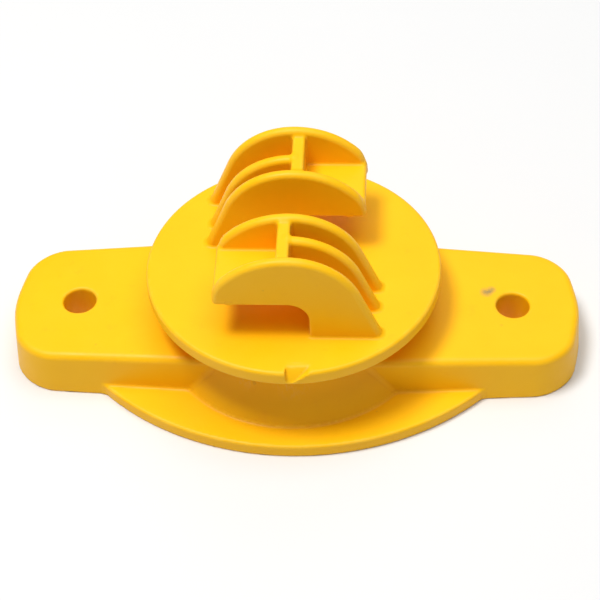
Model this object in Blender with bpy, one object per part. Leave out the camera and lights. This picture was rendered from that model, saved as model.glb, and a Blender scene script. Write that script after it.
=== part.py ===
"""Two-claw fence insulator: a nail-on base, a hollow neck, a shed disc and two opposed wire claws.

The frame's origin is the centre of the face that lies against the post. +X runs along the base
towards the right nail hole, +Y across it and +Z away from the post. The real insulator is one
plastic moulding: each wall of it is an object here, JOINT_GAP clear of the next wall.
"""

from math import cos, hypot, pi, radians, sin, sqrt

import bmesh
import bpy
from mathutils import Vector

MM = 0.001  # every length below is in millimetres

# Driving dimensions
HALF_LENGTH = 45.3  # centre of the base to the tip of an ear
JOINT_GAP = 0.3  # clearance between neighbouring walls
WALL = 2.1  # wall thickness of the cored base

# Ears, the two ends of the base
EAR_HALF_WIDTH_AT_CENTRE = 14.65  # where the ear's straight sides would cross X = 0
EAR_HALF_WIDTH_AT_CORNER = 12.1
EAR_CORNER_X = HALF_LENGTH - 2.1
EAR_CORNER_RADIUS = 5.4
EAR_NOSE_RADIUS = 14.0
EAR_NOSE_CUT_BACK = 0.2  # how much the nose's rounding takes off its corner
EAR_TOP_AT_CENTRE = 9.1  # height that the sloping top would have at X = 0
EAR_TOP_SLOPE = 0.035
EAR_EDGE_RADIUS = 1.1
EAR_DRAFT = 0.5  # the sides lean in by this much up to the rounded edge

# Nail holes and the tubes round them
NAIL_X = 34.4
NAIL_HOLE_RADIUS = 2.6
NAIL_BOSS_RADIUS = 4.6
RIB_THICKNESS = 1.6

# Back flange: two crescents, each an arc about a centre on the other side of the base
FLANGE_THICKNESS = 2.2
FLANGE_ARC_RADIUS = 42.2
FLANGE_REACH = 25.05  # how far each crescent stands out from Y = 0
FLANGE_HALF_ANGLE = 0.85  # wide enough for the arc to run in under the ears

# Neck and shed disc
NECK_FOOT_RADIUS = 21.0
NECK_TOP_RADIUS = 15.4
NECK_FOOT_HEIGHT = 2.4
DISC_RADIUS = 22.95
DISC_THICKNESS = 2.5
DISC_TOP = 16.45
DISC_EDGE_RADIUS = 0.6

# Claws. U runs along a claw from its open side to its foot, H is the height above the disc
PLATE_THICKNESS = 1.9
OUTER_PLATE_Y = 14.4  # middle plane of each plate, from the centre of the disc
MIDDLE_PLATE_Y = 8.95
INNER_PLATE_Y = 4.8
APEX_H = 15.5
INNER_PLATE_DROP = 0.35  # the inner plate is this much lower than the outer one
MIDDLE_PLATE_DROP = 1.0
FOOT_ARC_RADIUS = 11.6  # from the apex towards the foot
FOOT_SLOPE = radians(68)  # the arc ends here and a straight edge runs down to the disc
HOOK_ARC_RADIUS = 13.3  # from the apex towards the open side
HOOK_TIP_U = -11.3
HOOK_TIP_RADIUS = 1.4
SLOT_HEIGHT = 6.7
SLOT_END_U = -0.2  # centre of the slot's round closed end
HOOK_WALL = 2.2
HOOK_PROUD = 0.05  # the hook wall stands out from the plates by this much
LIP_U = -8.7  # crest of the lip that keeps the wire in
LIP_DEPTH = 0.4
LIP_HALF_LENGTH = 1.0
WEB_U = -0.7
WEB_THICKNESS = 1.95
WEB_TOP_H = 14.6

CIRCLE_STEPS = 72
CORNER_STEPS = 6
SHARP = 0.1  # corner radius that stands for none
EDGE_STEPS = 4
OVERCUT = 1.0  # how far a cutter runs past the face that it opens


def clear_scene():
    for item in list(bpy.data.objects):
        bpy.data.objects.remove(item)


def yellow_plastic():
    material = bpy.data.materials.new("yellow_plastic")
    material.use_nodes = True
    shader = material.node_tree.nodes["Principled BSDF"]
    shader.inputs["Base Color"].default_value = (0.95, 0.60, 0.02, 1)
    shader.inputs["Roughness"].default_value = 0.42
    shader.inputs["Metallic"].default_value = 0
    return material


# Outlines: lists of (a, b) pairs in millimetres


def arc(centre, radius, start, end, steps):
    """Points along an arc, angles in radians, both ends included."""
    angles = [start + (end - start) * i / steps for i in range(steps + 1)]
    return [(centre[0] + radius * cos(a), centre[1] + radius * sin(a)) for a in angles]


def inset_corners(corners, inset):
    """Corners of a counter-clockwise polygon whose edges all move inwards by inset."""
    moved = []
    for i, corner in enumerate(corners):
        here = Vector(corner)
        before = (here - Vector(corners[i - 1])).normalized()
        after = (Vector(corners[(i + 1) % len(corners)]) - here).normalized()
        bisector = (after - before).normalized()
        moved.append(here + bisector * inset / abs(before.cross(bisector)))
    return moved


def rounded(corners, radii, inset=0.0):
    """A counter-clockwise outline with each corner rounded, moved inwards by inset."""
    points = []
    moved = inset_corners(corners, inset)
    for i, corner in enumerate(moved):
        before = (moved[i - 1] - corner).normalized()
        after = (moved[(i + 1) % len(moved)] - corner).normalized()
        radius = max(radii[i] - inset, SHARP)
        half_angle = before.angle(after) / 2
        centre = corner + (before + after).normalized() * radius / sin(half_angle)
        start = corner + before * radius / abs(sin(half_angle) / cos(half_angle)) - centre
        turn = pi - 2 * half_angle
        for step in range(CORNER_STEPS + 1):
            angle = turn * step / CORNER_STEPS
            points.append(
                (
                    centre.x + start.x * cos(angle) - start.y * sin(angle),
                    centre.y + start.x * sin(angle) + start.y * cos(angle),
                )
            )
    return points


def ear_outline(inset=0.0):
    """Plan of the right ear, from inside the neck to its nose."""
    corners = [
        (0, -EAR_HALF_WIDTH_AT_CENTRE),
        (EAR_CORNER_X, -EAR_HALF_WIDTH_AT_CORNER),
        (HALF_LENGTH + EAR_NOSE_CUT_BACK, 0),
        (EAR_CORNER_X, EAR_HALF_WIDTH_AT_CORNER),
        (0, EAR_HALF_WIDTH_AT_CENTRE),
    ]
    radii = [SHARP, EAR_CORNER_RADIUS, EAR_NOSE_RADIUS, EAR_CORNER_RADIUS, SHARP]
    return rounded(corners, radii, inset)


def claw_back(drop=0.0):
    """A claw plate's upper edge from its foot to the hook's tip, lowered by drop."""
    foot_centre = (0, APEX_H - FOOT_ARC_RADIUS - drop)
    slope_start = pi / 2 - FOOT_SLOPE
    straight_top = arc(foot_centre, FOOT_ARC_RADIUS, slope_start, slope_start, 1)[0]
    foot_u = straight_top[0] + straight_top[1] / (sin(FOOT_SLOPE) / cos(FOOT_SLOPE))
    hook_centre = (0, APEX_H - HOOK_ARC_RADIUS - drop)
    tip_u = HOOK_TIP_U + HOOK_TIP_RADIUS
    tip_h = hook_centre[1] + sqrt((HOOK_ARC_RADIUS - HOOK_TIP_RADIUS) ** 2 - tip_u**2)
    meet = pi - Vector((-tip_u, tip_h - hook_centre[1])).angle(Vector((1, 0)))
    return (
        [(foot_u, 0)]
        + arc(foot_centre, FOOT_ARC_RADIUS, slope_start, pi / 2, 14)
        + arc(hook_centre, HOOK_ARC_RADIUS, pi / 2, meet, 10)[1:]
        + arc((tip_u, tip_h), HOOK_TIP_RADIUS, meet, pi, 5)[1:]
    )


def hook_outline(grow=0.0):
    """The hook wall round the wire slot: a floor that turns down to the disc, grown outwards."""
    centre = (SLOT_END_U, SLOT_HEIGHT / 2)
    bottom = JOINT_GAP - grow
    inner_radius = SLOT_HEIGHT / 2
    outer_radius = inner_radius + HOOK_WALL + grow
    outer = [(SLOT_END_U + outer_radius, bottom)] + arc(centre, outer_radius, 0, pi / 2, 12)
    outer_top = outer[-1][1]
    inner = arc(centre, inner_radius, pi / 2, 0, 12) + [(SLOT_END_U + inner_radius, bottom)]
    lip = [
        (HOOK_TIP_U - grow, SLOT_HEIGHT + LIP_DEPTH),
        (LIP_U - LIP_HALF_LENGTH, SLOT_HEIGHT + LIP_DEPTH / 2),
        (LIP_U, SLOT_HEIGHT - LIP_DEPTH),
        (LIP_U + 2 * LIP_HALF_LENGTH, SLOT_HEIGHT),
    ]
    return outer + [(HOOK_TIP_U - grow, outer_top)] + lip + inner


def filled_hook():
    """The space that the hook wall and its slot take, with the joint gap round it."""
    outer = [
        point
        for point in hook_outline(JOINT_GAP)
        if hypot(point[0] - SLOT_END_U, point[1] - SLOT_HEIGHT / 2) > SLOT_HEIGHT / 2 + HOOK_WALL / 2
        and (point[0] > SLOT_END_U - 0.01 or point[1] > SLOT_HEIGHT + HOOK_WALL)
        and point[1] > JOINT_GAP
    ]
    foot_u = outer[0][0]
    tip = (HOOK_TIP_U - OVERCUT, outer[-1][1])
    return [(HOOK_TIP_U - OVERCUT, -OVERCUT), (foot_u, -OVERCUT)] + outer[:-1] + [tip]


# Solids


def add_object(name, mesh_builder, material=None):
    """A new object whose mesh is what mesh_builder makes, scaled from millimetres."""
    mesh = bpy.data.meshes.new(name)
    shape = bmesh.new()
    mesh_builder(shape)
    bmesh.ops.recalc_face_normals(shape, faces=shape.faces[:])
    bmesh.ops.scale(shape, vec=(MM, MM, MM), verts=shape.verts[:])
    shape.to_mesh(mesh)
    shape.free()
    mesh.shade_smooth()
    mesh.set_sharp_from_angle(angle=radians(30))
    item = bpy.data.objects.new(name, mesh)
    bpy.context.scene.collection.objects.link(item)
    if material:
        mesh.materials.append(material)
    else:
        item.hide_render = True
        item.display_type = "WIRE"
    return item


def loft(name, rings, material=None):
    """A solid through rings of equally many points, closed by a face at each end."""

    def build(shape):
        loops = [[shape.verts.new(point) for point in ring] for ring in rings]
        for low, high in zip(loops, loops[1:]):
            for i in range(len(low)):
                j = (i + 1) % len(low)
                shape.faces.new((low[i], low[j], high[j], high[i]))
        shape.faces.new(loops[0])
        shape.faces.new(loops[-1])

    return add_object(name, build, material)


def upright(name, outline, low, high, material=None):
    """An outline in X and Y, extruded along Z."""
    return loft(name, [[(x, y, z) for x, y in outline] for z in (low, high)], material)


def across(name, outline, low, high, material=None):
    """An outline in X and Z, extruded along Y."""
    return loft(name, [[(x, y, z) for x, z in outline] for y in (low, high)], material)


def turned(name, profile, material=None):
    """A solid disc or cone about Z from (radius, height) pairs, bottom to top."""
    rings = []
    for radius, height in profile:
        circle = arc((0, 0), radius, 0, 2 * pi, CIRCLE_STEPS)[:-1]
        rings.append([(x, y, height) for x, y in circle])
    return loft(name, rings, material)


def box(name, low, high, material=None):
    outline = [(low[0], low[1]), (high[0], low[1]), (high[0], high[1]), (low[0], high[1])]
    return upright(name, outline, low[2], high[2], material)


def combine(item, other, operation):
    modifier = item.modifiers.new(operation.lower(), "BOOLEAN")
    modifier.operation = operation
    modifier.solver = "EXACT"
    modifier.object = other


def cut(item, *cutters):
    for cutter in cutters:
        combine(item, cutter, "DIFFERENCE")


def half_turn(item):
    """Turns an object half a turn about Z, which takes the right side to the left side."""
    item.rotation_euler.z = pi
    return item


# Base


def ear_top(x):
    return EAR_TOP_AT_CENTRE - EAR_TOP_SLOPE * x


def ear_solid(name, base_inset, top_drop, low, edge_radius, material=None):
    """The ear's outer form, or its core: leaning sides, a sloping top and a round edge."""

    def ring(inset, drop):
        return [(x, y, ear_top(x) - drop) for x, y in ear_outline(inset)]

    rings = [[(x, y, low) for x, y in ear_outline(base_inset)]]
    for step in range(EDGE_STEPS + 1):
        angle = pi / 2 * step / EDGE_STEPS
        inset = base_inset + EAR_DRAFT + edge_radius * (1 - cos(angle))
        rings.append(ring(inset, top_drop + edge_radius * (1 - sin(angle))))
    return loft(name, rings, material)


def neck_profile(grow=0.0):
    """(radius, height) pairs of the neck's outer side, bottom to top, grown outwards."""
    neck_top = DISC_TOP - DISC_THICKNESS - JOINT_GAP
    foot_radius = NECK_FOOT_RADIUS + grow
    return [(foot_radius, 0), (foot_radius, NECK_FOOT_HEIGHT), (NECK_TOP_RADIUS + grow, neck_top)]


def neck_cutter(name, grow):
    """The neck grown by grow and run past its ends, to cut with."""
    profile = neck_profile(grow)
    bottom = (profile[0][0], -OVERCUT)
    top = (profile[-1][0], profile[-1][1] + OVERCUT)
    return turned(name, [bottom] + profile[1:] + [top])


def make_ears(material, neck_space):
    for side, place in (("right", lambda item: item), ("left", half_turn)):
        ear = ear_solid(f"{side}_ear", 0, 0, 0, EAR_EDGE_RADIUS, material)
        core = ear_solid(f"{side}_ear_core", WALL, WALL, -OVERCUT, 0.4)
        hole_outline = arc((NAIL_X, 0), NAIL_HOLE_RADIUS, 0, 2 * pi, 32)[:-1]
        hole = upright(f"{side}_nail_hole", hole_outline, -OVERCUT, EAR_TOP_AT_CENTRE + OVERCUT)
        roof = ear_top(NAIL_X + NAIL_BOSS_RADIUS) - WALL - JOINT_GAP
        boss_outline = arc((NAIL_X, 0), NAIL_BOSS_RADIUS, 0, 2 * pi, 32)[:-1]
        boss = upright(f"{side}_nail_boss", boss_outline, 0, roof, material)
        rib = box(
            f"{side}_ear_rib",
            (NECK_FOOT_RADIUS + 2 * JOINT_GAP, -RIB_THICKNESS / 2, 0),
            (NAIL_X - NAIL_BOSS_RADIUS - JOINT_GAP, RIB_THICKNESS / 2, roof),
            material,
        )
        for item in (ear, core, hole, boss, rib):
            place(item)
        cut(ear, core, hole, neck_space)
        cut(boss, hole)


def make_flanges(material, neck_space):
    arc_centre = FLANGE_ARC_RADIUS - FLANGE_REACH
    start, end = -pi / 2 - FLANGE_HALF_ANGLE, -pi / 2 + FLANGE_HALF_ANGLE
    outline = arc((0, arc_centre), FLANGE_ARC_RADIUS, start, end, 40)
    clearances = [
        upright(f"flange_space_{side}", ear_outline(-JOINT_GAP), -OVERCUT, EAR_TOP_AT_CENTRE)
        for side in ("right", "left")
    ]
    half_turn(clearances[1])
    for name, place in (("front_flange", lambda item: item), ("rear_flange", half_turn)):
        flange = place(upright(name, outline, 0, FLANGE_THICKNESS, material))
        cut(flange, *clearances, neck_space)


def make_neck(material):
    neck = turned("neck", neck_profile(), material)
    cut(neck, neck_cutter("neck_core", -WALL))
    right = neck_profile(-WALL - JOINT_GAP)
    left = [(-radius, height) for radius, height in reversed(right)]
    across("neck_rib", right + left, -RIB_THICKNESS / 2, RIB_THICKNESS / 2, material)


def make_disc(material):
    rim = [
        (DISC_RADIUS - DISC_EDGE_RADIUS * (1 - cos(a)), DISC_EDGE_RADIUS * (1 - sin(a)))
        for a in (0, pi / 6, pi / 3, pi / 2)
    ]
    bottom = DISC_TOP - DISC_THICKNESS
    lower = [(radius, bottom + drop) for radius, drop in reversed(rim)]
    upper = [(radius, DISC_TOP - drop) for radius, drop in rim]
    turned("shed_disc", lower + upper, material)


# Claws


def raised(outline):
    return [(u, DISC_TOP + h) for u, h in outline]


def plate_outline(first_u, drop=0.0):
    """A claw plate from first_u to its foot, JOINT_GAP above the disc."""
    edge = [point for point in claw_back(drop) if point[0] > first_u and point[1] > JOINT_GAP]
    foot, above = claw_back(drop)[:2]
    share = JOINT_GAP / above[1]
    gap_u = foot[0] + (above[0] - foot[0]) * share
    end = [(first_u, edge[-1][1]), (first_u, JOINT_GAP)]
    return raised([(gap_u, JOINT_GAP)] + edge + end)


def claw_plate(name, outline, middle_y, material):
    half = PLATE_THICKNESS / 2
    return across(name, outline, -middle_y - half, -middle_y + half, material)


def make_claw(side, place, material):
    """One claw: a hook wall over the wire slot, three plates on it and a web between them."""
    half = PLATE_THICKNESS / 2
    front, back = -OUTER_PLATE_Y - half, -INNER_PLATE_Y + half
    hook = across(
        f"{side}_claw_hook", raised(hook_outline()), front - HOOK_PROUD, back + HOOK_PROUD, material
    )
    hook_space = across(
        f"{side}_claw_hook_space", raised(filled_hook()), front - OVERCUT, back + OVERCUT
    )
    outer = claw_plate(
        f"{side}_claw_outer_plate", plate_outline(HOOK_TIP_U), OUTER_PLATE_Y, material
    )
    inner_outline = plate_outline(HOOK_TIP_U, INNER_PLATE_DROP)
    inner = claw_plate(f"{side}_claw_inner_plate", inner_outline, INNER_PLATE_Y, material)
    middle_start = WEB_U + WEB_THICKNESS / 2 + JOINT_GAP
    middle_outline = plate_outline(middle_start, MIDDLE_PLATE_DROP)
    middle = claw_plate(f"{side}_claw_middle_plate", middle_outline, MIDDLE_PLATE_Y, material)
    web_reach = half + JOINT_GAP
    web = box(
        f"{side}_claw_web",
        (WEB_U - WEB_THICKNESS / 2, -OUTER_PLATE_Y + web_reach, DISC_TOP + SLOT_HEIGHT),
        (WEB_U + WEB_THICKNESS / 2, -INNER_PLATE_Y - web_reach, DISC_TOP + WEB_TOP_H),
        material,
    )
    for item in (hook, hook_space, outer, inner, middle, web):
        place(item)
    for item in (outer, inner, middle, web):
        cut(item, hook_space)


def main():
    clear_scene()
    material = yellow_plastic()
    neck_space = neck_cutter("neck_space", JOINT_GAP)
    make_ears(material, neck_space)
    make_flanges(material, neck_space)
    make_neck(material)
    make_disc(material)
    make_claw("front", lambda item: item, material)
    make_claw("rear", half_turn, material)


main()
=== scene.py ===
# Looks of the two-claw fence insulator: one moulding of yellow polyethylene.
#
# Each wall of the moulding is a signed distance in millimetres, negative inside it. The walls are
# joined with round fillets into one body, and each is then meshed as a piece of its own that
# follows the body's skin and dips under its neighbours, so that the moulding shows no joint.

from functools import reduce
from math import cos, radians, sin

import bpy
import numpy as np
from mathutils import Matrix, Vector


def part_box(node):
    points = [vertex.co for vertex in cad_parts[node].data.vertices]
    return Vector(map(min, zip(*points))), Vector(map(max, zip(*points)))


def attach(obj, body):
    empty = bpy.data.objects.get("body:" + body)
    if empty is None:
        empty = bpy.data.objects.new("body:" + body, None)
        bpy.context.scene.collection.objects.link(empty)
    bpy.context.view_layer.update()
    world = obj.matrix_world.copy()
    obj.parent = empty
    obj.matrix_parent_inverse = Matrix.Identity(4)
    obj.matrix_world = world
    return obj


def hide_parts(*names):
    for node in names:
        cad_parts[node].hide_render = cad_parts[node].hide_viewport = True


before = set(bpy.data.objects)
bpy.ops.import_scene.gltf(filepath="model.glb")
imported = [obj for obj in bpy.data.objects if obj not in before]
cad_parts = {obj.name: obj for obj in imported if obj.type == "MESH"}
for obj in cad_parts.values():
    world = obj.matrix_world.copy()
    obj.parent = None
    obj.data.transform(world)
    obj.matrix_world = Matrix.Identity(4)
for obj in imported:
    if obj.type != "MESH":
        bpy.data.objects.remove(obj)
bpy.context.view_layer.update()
MM = 0.001


def span(node):
    """Lowest and highest corner of a CAD node, in millimetres."""
    low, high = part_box(node)
    return low / MM, high / MM


# Sizes in millimetres, from the frame where a node shows them
WALL = 2.1
EDGE_RADIUS = 0.3  # of an edge that has no radius of its own
FILLET = 0.5  # where two walls meet
ROOT = 0.8  # how far a wall of the base runs on into the wall that it ends in
POST_EDGE_RADIUS = 0.25  # round the face that lies against the post

EAR_TIP_X = span("right_ear")[1].x
EAR_HALF_WIDTH_AT_CENTRE = 14.65
EAR_CORNER_X = EAR_TIP_X - 2.05
EAR_HALF_WIDTH_AT_CORNER = 12.1
EAR_CORNER_RADIUS = 5.4
EAR_NOSE_SOFTENING = 4.0
EAR_NOSE_CUT_BACK = 1.0  # how much that softening takes off the nose's corner
EAR_TOP_AT_CENTRE = 9.1
EAR_TOP_SLOPE = 0.035
EAR_EDGE_RADIUS = 1.1
EAR_DRAFT = 0.06
EAR_CORE_TOP_RADIUS = 0.8
EAR_CORE_END_RADIUS = 0.4

BOSS_LOW, BOSS_HIGH = span("right_nail_boss")
NAIL_X = (BOSS_LOW.x + BOSS_HIGH.x) / 2
BOSS_RADIUS = (BOSS_HIGH.x - BOSS_LOW.x) / 2
BOSS_TOP = BOSS_HIGH.z
NAIL_HOLE_RADIUS = BOSS_RADIUS - 2
NAIL_HOLE_EDGE_RADIUS = 0.45
RIB_HALF = span("neck_rib")[1].y
RIB_ROOT = 0.6  # how far an ear's rib runs into the boss and the neck

FLANGE_REACH = -span("front_flange")[0].y
FLANGE_TOP = span("front_flange")[1].z
FLANGE_ARC_RADIUS = 42.2
FLANGE_EDGE_RADIUS = 0.4

NECK_FOOT_RADIUS = span("neck")[1].x
NECK_FOOT_HEIGHT = 2.4
NECK_TOP_RADIUS = 15.4
NECK_WAIST = 0.5  # how far the cone's side curves in
NECK_LEAN = 0.9  # the cone's side leans, so its distance is this share of the radial one

DISC_RADIUS = span("shed_disc")[1].x
DISC_BOTTOM = span("shed_disc")[0].z
DISC_TOP = span("shed_disc")[1].z
DISC_EDGE_RADIUS = 0.6

# The gate's scar: a wedge that widens upwards from a point on the disc's lower edge
SCAR_X = -0.07
SCAR_HALF_WIDTH = 0.08
SCAR_SLANT = 0.68  # its middle moves this much for each millimetre up
SCAR_SPREAD = 0.72  # and its half width grows this much
SCAR_SIDE_SCALE = 0.77  # turns that width into a distance
SCAR_DEPTH = 2.6  # how far in from the rim its floor starts to fall
SCAR_START = 0.3  # how far above the disc it is there
SCAR_FLOOR_SCALE = 0.7  # turns the height above the floor into a distance
SCAR_EDGE_RADIUS = 0.2

# Claws: u runs from the open side to the foot, h is the height above the disc
CLAWS = {"front_claw": 1, "rear_claw": -1}  # the front claw, and the same given half a turn
CLAW_ROOT = 1.2  # how far a claw's foot runs into the disc
APEX_H = span("front_claw_outer_plate")[1].z - DISC_TOP
PLATE_HALF = 0.95
PLATE_DRAFT = 0.012
OUTER_PLATE_Y = span("front_claw_outer_plate")[0].y + PLATE_HALF
MIDDLE_PLATE_Y = span("front_claw_middle_plate")[0].y + PLATE_HALF
INNER_PLATE_Y = span("front_claw_inner_plate")[0].y + PLATE_HALF
INNER_PLATE_DROP = 0.35
MIDDLE_PLATE_DROP = 1.0
PLATE_EDGE_RADIUS = 0.8
FOOT_ARC_RADIUS = 11.6
FOOT_SLOPE = radians(68)
HOOK_ARC_RADIUS = 13.3
HOOK_TIP_U = span("front_claw_hook")[0].x
HOOK_TIP_RADIUS = 1.4
SLOT_HALF = 3.35
SLOT_END_U = -0.2
HOOK_WALL = span("front_claw_hook")[1].z - DISC_TOP - 2 * SLOT_HALF
HOOK_END_INSET = 0.15  # the hook's floor ends this much inside the plates' tips
HOOK_END_RADIUS = 0.6
LIP_U = -8.7
LIP_RADIUS = 0.7
LIP_H = 2 * SLOT_HALF + LIP_RADIUS * 0.3
LIP_INSET = 0.2  # from the plates' outer faces
LIP_FILLET = 0.3
WEB_U = -0.7
WEB_HALF = 0.98
WEB_TOP_H = span("front_claw_web")[1].z - DISC_TOP
WEB_BOTTOM_H = 2 * SLOT_HALF + 0.3
WEB_EDGE_RADIUS = 0.5

# How the body is split into pieces
DIP = 1.0  # a piece sinks under its neighbour by this much times the distance squared
REACH = 0.8  # and goes in this far
# Where two walls share a face, the one with the lower number keeps it; the others have 0
RANK = {
    "front_claw_hook": -0.4,
    "rear_claw_hook": -0.4,
    "ear": 1.0,
    "nail_boss": 2.0,
    "flange": 2.0,
}


# Signed distances


def length(*parts):
    return np.sqrt(sum(part * part for part in parts))


def join(a, b, radius=FILLET):
    """Both solids, with a round fillet where they meet."""
    near_a = np.maximum(radius - a, 0)
    near_b = np.maximum(radius - b, 0)
    return np.maximum(radius, np.minimum(a, b)) - length(near_a, near_b)


def trim(a, b, radius=EDGE_RADIUS):
    """What the solids share, with a round edge where they cross."""
    return -join(-a, -b, radius)


def ear_plan(x, y, z):
    """Distance to the ears' outline, seen from above. It shrinks upwards."""
    side_run = Vector((EAR_CORNER_X, EAR_HALF_WIDTH_AT_CORNER - EAR_HALF_WIDTH_AT_CENTRE)).normalized()
    side = abs(y) * side_run.x - abs(x) * side_run.y - EAR_HALF_WIDTH_AT_CENTRE * side_run.x
    nose_x = EAR_TIP_X + EAR_NOSE_CUT_BACK
    end_run = Vector((nose_x - EAR_CORNER_X, -EAR_HALF_WIDTH_AT_CORNER)).normalized()
    end = (nose_x - abs(x)) * end_run.y + length(y, EAR_NOSE_SOFTENING) * end_run.x
    return trim(side, end, EAR_CORNER_RADIUS) + EAR_DRAFT * z


def neck_radius(z):
    rise = np.clip((z - NECK_FOOT_HEIGHT) / (DISC_BOTTOM - NECK_FOOT_HEIGHT), 0, 1)
    cone = NECK_FOOT_RADIUS + (NECK_TOP_RADIUS - NECK_FOOT_RADIUS) * rise
    return cone - NECK_WAIST * 4 * rise * (1 - rise)


def base_walls(x, y, z):
    """The base's walls before the nail holes. Each runs on below the post's face."""
    neck_outer = (length(x, y) - neck_radius(z)) * NECK_LEAN
    neck_core = neck_outer + WALL
    ear_top = z - EAR_TOP_AT_CENTRE + EAR_TOP_SLOPE * abs(x)
    plan = ear_plan(x, y, z)
    ear_core = trim(plan + WALL, ear_top + WALL, EAR_CORE_TOP_RADIUS)
    ear_core = trim(ear_core, -neck_outer, EAR_CORE_END_RADIUS)
    above_boss = z - BOSS_TOP - ROOT
    above_neck = z - DISC_BOTTOM - ROOT
    beside_rib = abs(y) - RIB_HALF
    along_ear = trim(abs(x) - NAIL_X + BOSS_RADIUS - RIB_ROOT, -neck_outer - RIB_ROOT)

    ear = trim(plan, ear_top, EAR_EDGE_RADIUS)
    flange = length(x, abs(y) + FLANGE_ARC_RADIUS - FLANGE_REACH) - FLANGE_ARC_RADIUS
    flange = trim(flange, z - FLANGE_TOP, FLANGE_EDGE_RADIUS)
    return {
        "ear": trim(trim(ear, -ear_core), -neck_core),
        "nail_boss": trim(length(abs(x) - NAIL_X, y) - BOSS_RADIUS, above_boss),
        "ear_rib": trim(trim(beside_rib, above_boss), along_ear),
        "flange": trim(trim(flange, -ear_core), -neck_core),
        "neck": trim(trim(neck_outer, -neck_core), above_neck),
        "neck_rib": trim(trim(beside_rib, neck_core - ROOT), above_neck),
    }


def gate_scar(x, y, z):
    """The wedge that was lost from the front of the disc's rim where the gate was cut off."""
    rise = z - DISC_BOTTOM
    side = abs(x - SCAR_X - SCAR_SLANT * rise) - SCAR_HALF_WIDTH - SCAR_SPREAD * rise
    inward = length(x, y) - DISC_RADIUS + SCAR_DEPTH
    sag = (DISC_TOP - DISC_BOTTOM) * (np.maximum(inward, 0) / SCAR_DEPTH) ** 2
    floor = DISC_TOP + SCAR_START - sag - z
    return trim(trim(side * SCAR_SIDE_SCALE, floor * SCAR_FLOOR_SCALE), y + DISC_RADIUS / 2)


def disc_wall(x, y, z):
    middle = (DISC_TOP + DISC_BOTTOM) / 2
    rim = length(x, y) - DISC_RADIUS
    disc = trim(rim, abs(z - middle) - DISC_TOP + middle, DISC_EDGE_RADIUS)
    return trim(disc, -gate_scar(x, y, z), SCAR_EDGE_RADIUS)


def claw_back(u, h):
    """Distance to a claw's arched upper edge."""
    foot_h = h - APEX_H + FOOT_ARC_RADIUS
    straight = u * sin(FOOT_SLOPE) + foot_h * cos(FOOT_SLOPE) - FOOT_ARC_RADIUS
    below_arc = foot_h * sin(FOOT_SLOPE) < u * cos(FOOT_SLOPE)
    foot = np.where(below_arc, straight, length(u, foot_h) - FOOT_ARC_RADIUS)
    hook = length(u, h - APEX_H + HOOK_ARC_RADIUS) - HOOK_ARC_RADIUS
    return np.where(u > 0, foot, hook)


def claw_slot(u, h):
    """Distance to a claw's wire slot and the open space beyond it, down into the disc."""
    return length(np.maximum(u - SLOT_END_U, 0), np.maximum(h - SLOT_HALF, 0)) - SLOT_HALF


def claw_walls(u, y, h):
    """The front claw's five walls and its lip, before the wire slot is cut out."""
    half = PLATE_HALF + PLATE_DRAFT * (APEX_H / 2 - h)
    off_middle = abs(y - (OUTER_PLATE_Y + INNER_PLATE_Y) / 2)
    beside = off_middle - (INNER_PLATE_Y - OUTER_PLATE_Y) / 2
    in_disc = -h - CLAW_ROOT

    def plate(middle_y, drop, first_u, tip_radius):
        outline = trim(trim(claw_back(u, h + drop), first_u - u, tip_radius), in_disc)
        return trim(outline, abs(y - middle_y) - half, PLATE_EDGE_RADIUS)

    hook = trim(claw_slot(u, h) - HOOK_WALL, in_disc)
    hook = trim(hook, HOOK_TIP_U + HOOK_END_INSET - u, HOOK_END_RADIUS)
    lip = length(u - LIP_U, h - LIP_H) - LIP_RADIUS
    web = trim(abs(u - WEB_U) - WEB_HALF, h - WEB_TOP_H, WEB_EDGE_RADIUS)
    return {
        "hook": trim(hook, beside),
        "lip": trim(lip, beside - PLATE_HALF + LIP_INSET),
        "outer_plate": plate(OUTER_PLATE_Y, 0, HOOK_TIP_U, HOOK_TIP_RADIUS),
        "inner_plate": plate(INNER_PLATE_Y, INNER_PLATE_DROP, HOOK_TIP_U, HOOK_TIP_RADIUS),
        "middle_plate": plate(MIDDLE_PLATE_Y, MIDDLE_PLATE_DROP, WEB_U, FILLET),
        "web": trim(trim(web, beside), WEB_BOTTOM_H - h),
    }


def moulding(x, y, z):
    """Distance to the whole body, flat where it meets the post, and to each wall by name."""
    walls = base_walls(x, y, z)
    nail_holes = length(abs(x) - NAIL_X, y) - NAIL_HOLE_RADIUS
    base = trim(reduce(join, walls.values()), -nail_holes, NAIL_HOLE_EDGE_RADIUS)
    for name in ("ear", "nail_boss"):
        walls[name] = np.maximum(walls[name], -nail_holes)
    walls["shed_disc"] = disc_wall(x, y, z)
    total = join(base, walls["shed_disc"])
    h = z - DISC_TOP
    for claw, turn in CLAWS.items():
        slot = claw_slot(turn * x, h)
        own = claw_walls(turn * x, turn * y, h)
        lip = own.pop("lip")
        total = join(total, join(trim(reduce(join, own.values()), -slot), lip, LIP_FILLET))
        own["hook"] = np.minimum(own["hook"], lip)
        for name, wall in own.items():
            walls[f"{claw}_{name}"] = np.maximum(wall, -np.maximum(slot, -lip))
    return trim(total, -z, POST_EDGE_RADIUS), walls


def body(x, y, z):
    return moulding(x, y, z)[0]


def skin_of(name):
    """A function for the distance to the piece of the body that is called name."""

    def distance(x, y, z):
        whole, walls = moulding(x, y, z)
        own = walls.pop(name) + RANK.get(name, 0)
        others = reduce(np.minimum, (wall + RANK.get(key, 0) for key, wall in walls.items()))
        beyond = (own - others) / 2
        return np.maximum(whole + DIP * np.maximum(beyond, 0) ** 2, beyond - REACH)

    return distance


# Meshing

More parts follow.
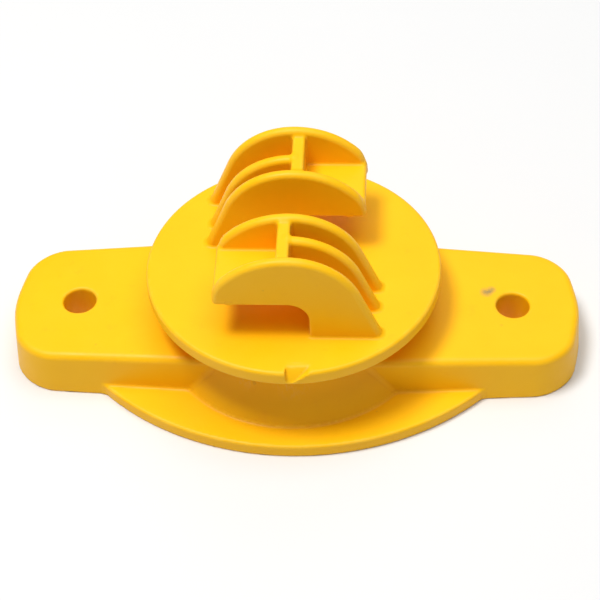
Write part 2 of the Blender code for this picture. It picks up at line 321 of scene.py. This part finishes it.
TINY = 1e-6
SETTLING_STEPS = 3  # moves that bring the mesh's points onto the skin
LEAST_SLOPE = 0.5  # a flatter skin is taken as this steep, so that no move is too long
MOST_BEND = 4.0  # one over millimetres: the sharpest edge that the material tells apart


def corner_mean(crossings, rings, count):
    """Mean of the crossings that touch each cell, in grid steps."""
    sums = np.zeros((count, 3))
    hits = np.zeros(count)
    for point, ring in zip(crossings, rings):
        for cell in ring:
            for axis in range(3):
                sums[:, axis] += np.bincount(cell, point[:, axis], count)
            hits += np.bincount(cell, minlength=count)
    return sums / hits[:, None]


def grid_net(values, origin, step):
    """Vertices and quads round the grid cells where the values change sign."""
    inside = values < 0
    cells = tuple(n - 1 for n in values.shape)
    total = np.zeros(cells, np.int8)
    for i, j, k in np.ndindex(2, 2, 2):
        total += inside[i : cells[0] + i, j : cells[1] + j, k : cells[2] + k]
    active = (total > 0) & (total < 8)
    number = np.full(cells, -1)
    number[active] = np.arange(active.sum())
    steps = np.eye(3, dtype=int)
    crossings = []
    rings = []
    quads = []
    for axis in range(3):
        low = [slice(1, -1)] * 3
        high = [slice(1, -1)] * 3
        low[axis] = slice(0, -1)
        high[axis] = slice(1, None)
        crossing = inside[tuple(low)] != inside[tuple(high)]
        at = np.argwhere(crossing) + 1 - steps[axis]
        before = values[tuple(at.T)]
        after = values[tuple((at + steps[axis]).T)]
        point = at.astype(float)
        point[:, axis] += before / (before - after)
        one = steps[(axis + 1) % 3]
        two = steps[(axis + 2) % 3]
        ring = [number[tuple((at - shift).T)] for shift in (one + two, two, 0 * one, one)]
        crossings.append(point)
        rings.append(ring)
        ring = np.stack(ring, 1)
        outward = before < 0
        quads += [ring[outward], ring[~outward][:, ::-1]]
    return origin + step * corner_mean(crossings, rings, active.sum()), np.concatenate(quads)


def measured(distance, points):
    """Value, gradient and bend of a distance at each point, from nearby values."""
    nudge = 0.02
    x, y, z = points.T
    here = distance(x, y, z)
    ahead = [distance(x + a, y + b, z + c) for a, b, c in np.eye(3) * nudge]
    behind = [distance(x - a, y - b, z - c) for a, b, c in np.eye(3) * nudge]
    slope = np.stack([(f - b) / (2 * nudge) for f, b in zip(ahead, behind)], 1)
    bend = (sum(ahead) + sum(behind) - 6 * here) / nudge**2
    return here, slope, bend


def moulded_piece(name, low, high, step):
    """Vertices, quads, normals and edge bend of one piece inside a box of space."""
    skin = skin_of(name)
    axes = [np.arange(a - 2 * step, b + 3 * step, step, dtype=np.float32) for a, b in zip(low, high)]
    values = skin(*np.meshgrid(*axes, indexing="ij", sparse=True)).astype(np.float32)
    values[values == 0] = TINY
    points, quads = grid_net(values, np.array([axis[0] for axis in axes]), step)
    for _ in range(SETTLING_STEPS):
        here, slope, _bend = measured(skin, points)
        steep = np.maximum((slope**2).sum(1), LEAST_SLOPE**2)
        shift = np.clip(here / steep, -step / 2, step / 2)
        points = points - shift[:, None] * slope
    _here, slope, bend = measured(body, points)
    normals = slope / np.maximum(length(*slope.T), TINY)[:, None]
    return points, quads, normals, np.clip(bend, -MOST_BEND, MOST_BEND)


def add_piece(node, shape, turned, material):
    """A mesh object that replaces a CAD node, given half a turn about +Z for the other side."""
    points, quads, normals, bend = shape
    flip = np.array([-1, -1, 1]) if turned else np.ones(3)
    mesh = bpy.data.meshes.new(node + "_moulding")
    mesh.from_pydata((points * flip * MM).tolist(), [], quads.tolist())
    mesh.shade_smooth()
    mesh.normals_split_custom_set_from_vertices((normals * flip).tolist())
    mesh.attributes.new("bend", "FLOAT", "POINT").data.foreach_set("value", bend.astype(np.float32))
    mesh.materials.append(material)
    item = bpy.data.objects.new(node + "_moulding", mesh)
    bpy.context.scene.collection.objects.link(item)
    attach(item, "root")
    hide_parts(node)


# For each wall of the base: its node, the node on the other side and the width of a mesh cell
BASE_WALLS = {
    "ear": ("right_ear", "left_ear", 0.36),
    "nail_boss": ("right_nail_boss", "left_nail_boss", 0.3),
    "ear_rib": ("right_ear_rib", "left_ear_rib", 0.3),
    "flange": ("front_flange", "rear_flange", 0.36),
    "neck": ("neck", None, 0.38),
    "neck_rib": ("neck_rib", None, 0.36),
    "shed_disc": ("shed_disc", None, 0.3),
}
CLAW_WALLS = ("claw_hook", "claw_outer_plate", "claw_inner_plate", "claw_middle_plate", "claw_web")
CLAW_STEP = 0.24
PIECE_MARGIN = 2.6  # space meshed round a node's box
RIGHT_SIDE_X = 6.0  # the ears' walls are on both sides, and the right one's piece starts here


def add_moulding(material):
    jobs = [(wall, *rest) for wall, rest in BASE_WALLS.items()]
    jobs += [("front_" + wall, "front_" + wall, "rear_" + wall, CLAW_STEP) for wall in CLAW_WALLS]
    for wall, node, twin, step in jobs:
        low, high = span(node)
        margin = Vector((PIECE_MARGIN, PIECE_MARGIN, PIECE_MARGIN))
        low = low - margin
        if wall in ("ear", "nail_boss", "ear_rib"):
            low.x = max(low.x, RIGHT_SIDE_X)
        shape = moulded_piece(wall, low, high + margin, step)
        add_piece(node, shape, False, material)
        if twin:
            add_piece(twin, shape, True, material)


# Materials


def add_node(tree, kind, inputs=None, **settings):
    node = tree.nodes.new("ShaderNode" + kind)
    for key, value in settings.items():
        setattr(node, key, value)
    for key, value in (inputs or {}).items():
        if isinstance(value, bpy.types.NodeSocket):
            tree.links.new(value, node.inputs[key])
        else:
            node.inputs[key].default_value = value
    return node


def noise(tree, place, scale, detail=3.0, roughness=0.55, distortion=0.0):
    inputs = {
        "Vector": place,
        "Scale": scale,
        "Detail": detail,
        "Roughness": roughness,
        "Distortion": distortion,
    }
    return add_node(tree, "TexNoise", inputs).outputs["Fac"]


def remap(tree, value, low, high, to_low=0.0, to_high=1.0):
    inputs = {"Value": value, "From Min": low, "From Max": high, "To Min": to_low, "To Max": to_high}
    return add_node(tree, "MapRange", inputs).outputs["Result"]


def times(tree, a, b):
    return add_node(tree, "Math", {0: a, 1: b}, operation="MULTIPLY").outputs[0]


def plus(tree, a, b):
    return add_node(tree, "Math", {0: a, 1: b}, operation="ADD").outputs[0]


def mixed(tree, share, first, second):
    node = add_node(tree, "Mix", data_type="RGBA")
    for socket, value in zip(("Factor_Float", "A_Color", "B_Color"), (share, first, second)):
        target = next(s for s in node.inputs if s.identifier == socket)
        if isinstance(value, bpy.types.NodeSocket):
            tree.links.new(value, target)
        else:
            target.default_value = value
    return next(s for s in node.outputs if s.identifier == "Result_Color")


def spot(tree, place, centre, radius, softness):
    """1 inside a round spot of the given radius in millimetres, 0 outside it."""
    centre = tuple(c * MM for c in centre)
    away = add_node(tree, "VectorMath", {0: place, 1: centre}, operation="DISTANCE")
    low, high = (radius - softness) * MM, (radius + softness) * MM
    return remap(tree, away.outputs["Value"], low, high, 1.0, 0.0)


def spots(tree, place, marks):
    """The sum of several spots, each a centre, a radius and a softness in millimetres."""
    return reduce(lambda a, b: plus(tree, a, b), [spot(tree, place, *mark) for mark in marks])


YELLOW = (0.96, 0.5, 0.002, 1)
PALE_YELLOW = (0.98, 0.53, 0.004, 1)
MOTTLED_YELLOW = (0.9, 0.42, 0.008, 1)
SCUFFED_YELLOW = (0.98, 0.6, 0.07, 1)
# a deeper orange, painted into the inner corners as shade
CORNER_SHADE_YELLOW = (0.84, 0.35, 0.005, 1)
RUBBED_YELLOW = (0.95, 0.62, 0.2, 1)
SMUDGE_BROWN = (0.34, 0.24, 0.09, 1)
SPECK_BROWN = (0.5, 0.27, 0.03, 1)

# Centre, radius and softness of each mark, in millimetres
SMUDGES = (((30.3, 2.6, 8.0), 0.75, 0.5), ((31.1, 3.2, 8.0), 0.5, 0.4))  # by the right nail hole
RUBS = (((0.5, -17.8, 9), 2.2, 1.4), ((-7.0, -16.8, 9), 1.8, 1.2))  # on the neck's front


def moulded_colour(tree, place):
    """Yellow that is a little uneven, as the plastic flowed into the mould."""
    cloud = noise(tree, place, 70, 4, 0.6, 0.6)
    mottle = noise(tree, place, 420, 3, 0.6)
    base = mixed(tree, remap(tree, cloud, 0.3, 0.7), YELLOW, PALE_YELLOW)
    return mixed(tree, remap(tree, mottle, 0.62, 0.8, 0, 0.35), base, MOTTLED_YELLOW)


def soiled(tree, place, base):
    """The colour with smudges, specks and rubbed streaks."""
    dirt = remap(tree, noise(tree, place, 900, 4, 0.7), 0.35, 0.55, 0.45, 0.9)
    base = mixed(tree, times(tree, spots(tree, place, SMUDGES), dirt), base, SMUDGE_BROWN)
    speck = remap(tree, noise(tree, place, 560, 1, 0.4), 0.79, 0.82, 0, 0.25)
    base = mixed(tree, speck, base, SPECK_BROWN)
    upright = add_node(tree, "Mapping", {"Vector": place, "Scale": (1.0, 1.0, 0.18)}).outputs["Vector"]
    streaks = remap(tree, noise(tree, upright, 1500, 3, 0.6), 0.5, 0.68)
    rubbed = times(tree, spots(tree, place, RUBS), streaks)
    return mixed(tree, times(tree, rubbed, 0.4), base, RUBBED_YELLOW)


def moulded_surface(tree, place):
    """A normal with soft waves, fine grain and scratches."""
    inputs = {"Height": noise(tree, place, 110, 2, 0.4), "Strength": 0.35, "Distance": 0.0003}
    waves = add_node(tree, "Bump", inputs)
    stretch = add_node(tree, "Mapping", {"Vector": place, "Scale": (1.0, 7.0, 1.0)})
    scratches = noise(tree, stretch.outputs["Vector"], 900, 2, 0.5, 0.4)
    grain = plus(tree, noise(tree, place, 2600, 3, 0.6), times(tree, scratches, 0.5))
    inputs = {"Height": grain, "Strength": 0.22, "Distance": 0.00008, "Normal": waves.outputs[0]}
    return add_node(tree, "Bump", inputs).outputs[0]


def yellow_plastic():
    """Satin polyethylene with scuffed edges, painted shade in its inner corners and marks of use."""
    material = bpy.data.materials.new("moulded_yellow_plastic")
    material.use_nodes = True
    tree = material.node_tree
    shader = tree.nodes["Principled BSDF"]
    place = add_node(tree, "TexCoord").outputs["Object"]
    bend = add_node(tree, "Attribute", attribute_name="bend").outputs["Fac"]
    patchy = remap(tree, noise(tree, place, 260, 4, 0.7), 0.4, 0.65)
    scuffed = times(tree, remap(tree, bend, 0.5, 2.5, 0, 0.45), patchy)
    # painted shade: inner corners, where the bend is negative, are darkened towards a deeper orange
    painted_corner_shade = remap(tree, bend, -0.5, -2.5, 0, 0.4)

    base = mixed(tree, scuffed, moulded_colour(tree, place), SCUFFED_YELLOW)
    base = mixed(tree, painted_corner_shade, base, CORNER_SHADE_YELLOW)
    tree.links.new(soiled(tree, place, base), shader.inputs["Base Color"])
    gloss = remap(tree, noise(tree, place, 160, 5, 0.65), 0.3, 0.7, 0.36, 0.5)
    tree.links.new(plus(tree, gloss, times(tree, scuffed, 0.35)), shader.inputs["Roughness"])
    tree.links.new(moulded_surface(tree, place), shader.inputs["Normal"])
    shader.inputs["IOR"].default_value = 1.5
    shader.inputs["Specular IOR Level"].default_value = 0.22
    return material


def pale_floor():
    material = bpy.data.materials.new("pale_floor")
    material.use_nodes = True
    tree = material.node_tree
    shader = tree.nodes["Principled BSDF"]
    place = add_node(tree, "TexCoord").outputs["Object"]
    tone = mixed(tree, noise(tree, place, 9), (0.75, 0.75, 0.745, 1), (0.78, 0.78, 0.775, 1))
    tree.links.new(tone, shader.inputs["Base Color"])
    shader.inputs["Roughness"].default_value = 0.8
    return material


# Stage


def add_floor():
    half = 3.0
    below_base = 0.00002  # keeps the floor off the face that lies on it
    mesh = bpy.data.meshes.new("floor")
    corners = [(-half, -half), (half, -half), (half, half), (-half, half)]
    mesh.from_pydata([(x, y, -below_base) for x, y in corners], [], [(0, 1, 2, 3)])
    mesh.materials.append(pale_floor())
    floor = bpy.data.objects.new("floor", mesh)
    bpy.context.scene.collection.objects.link(floor)


def add_softbox(name, place, size, power):
    light = bpy.data.lights.new(name, "AREA")
    light.shape = "DISK"
    light.size = size
    light.energy = power
    item = bpy.data.objects.new(name, light)
    item.location = place
    item.rotation_euler = (-Vector(place)).to_track_quat("-Z", "Y").to_euler()
    bpy.context.scene.collection.objects.link(item)


def add_studio_light():
    world = bpy.data.worlds.new("studio")
    world.use_nodes = True
    background = world.node_tree.nodes["Background"]
    background.inputs["Color"].default_value = (1, 1, 1, 1)
    background.inputs["Strength"].default_value = 0.21
    bpy.context.scene.world = world
    add_softbox("key", (-0.24, -0.06, 0.8), 0.27, 4.4)
    add_softbox("top", (0.08, 0.0, 0.9), 0.9, 4.8)
    add_softbox("back", (0.05, 0.6, 0.6), 0.4, 0.4)
    bpy.context.scene.view_settings.view_transform = "Standard"


def add_camera():
    """A long lens, 46 degrees above the base's plane and a little right of square on."""
    azimuth, elevation, roll = radians(4.184), radians(46.009), radians(-2.397)
    target = Vector((0.00078, 0, 0.0085))
    distance = 0.32
    back = Vector((sin(azimuth) * cos(elevation), -cos(azimuth) * cos(elevation), sin(elevation)))
    right = Vector((cos(azimuth), sin(azimuth), 0))
    turn = Matrix.Rotation(roll, 3, back)
    right = turn @ right
    up = back.cross(right)
    camera = bpy.data.cameras.new("camera")
    camera.sensor_width = 36
    camera.lens = 121.2
    item = bpy.data.objects.new("camera", camera)
    axes = Matrix((right, up, back)).transposed()
    item.matrix_world = Matrix.Translation(target + back * distance) @ axes.to_4x4()
    bpy.context.scene.collection.objects.link(item)
    bpy.context.scene.camera = item


add_moulding(yellow_plastic())
add_floor()
add_studio_light()
add_camera()
